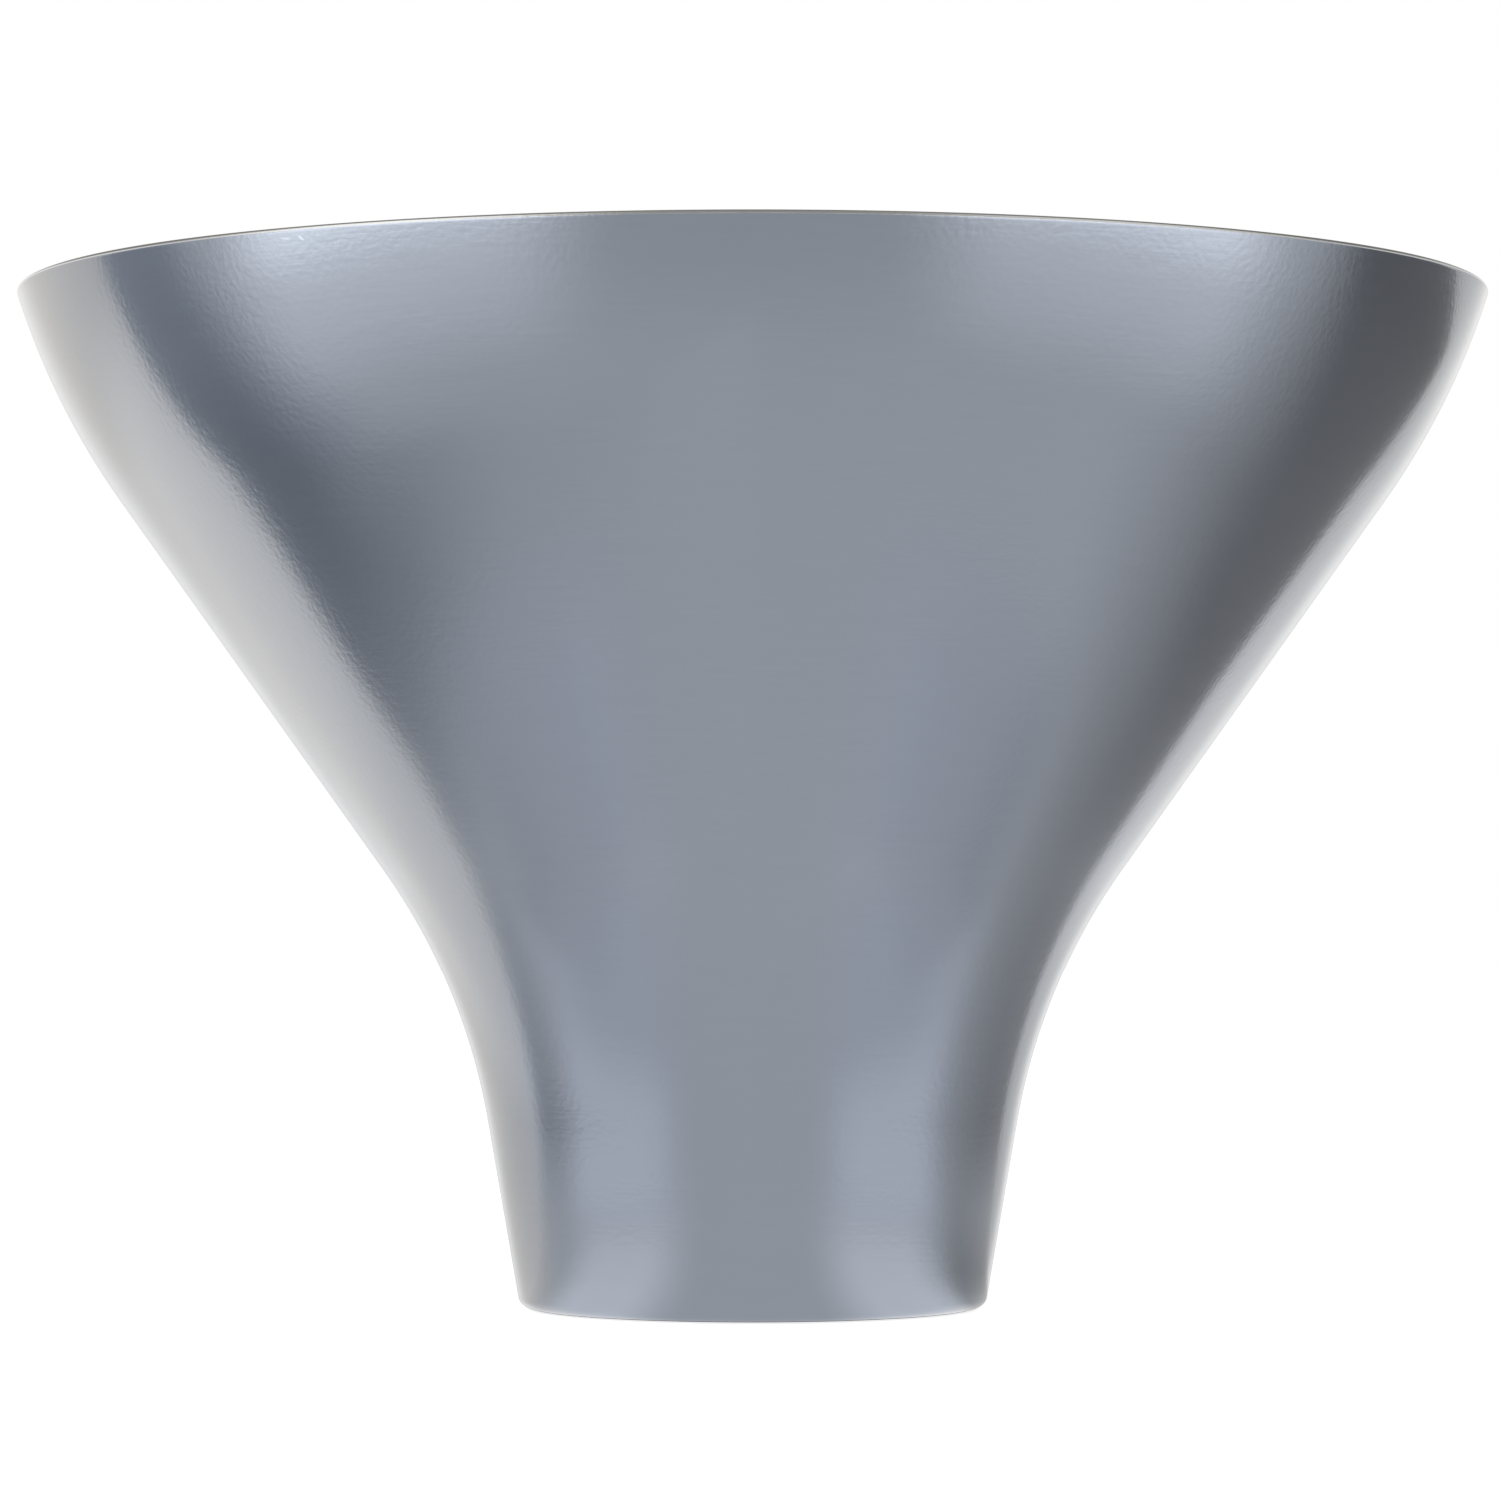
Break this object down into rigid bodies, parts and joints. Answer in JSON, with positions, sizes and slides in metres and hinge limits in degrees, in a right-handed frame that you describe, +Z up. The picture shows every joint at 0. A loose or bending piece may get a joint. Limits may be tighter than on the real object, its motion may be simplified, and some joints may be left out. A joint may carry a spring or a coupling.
{
  "type": "lampshade",
  "caption": "Trumpet-shaped spun metal lampshade, wide mouth up, with a closed narrow foot that has a round lampholder hole; satin blue-grey metallic lacquer.",
  "frame": {"origin": "middle of the foot's underside, on the shade's axis", "axes": "+Z up along the shade's axis towards the wide mouth, -Y towards the picture's camera, +X to its right"},
  "size_m": [0.2998, 0.2996, 0.2064],
  "materials": {
    "lacquer": "satin"
  },
  "bodies": {
    "root": {"shade": "lacquer"}
  },
  "joints": []
}
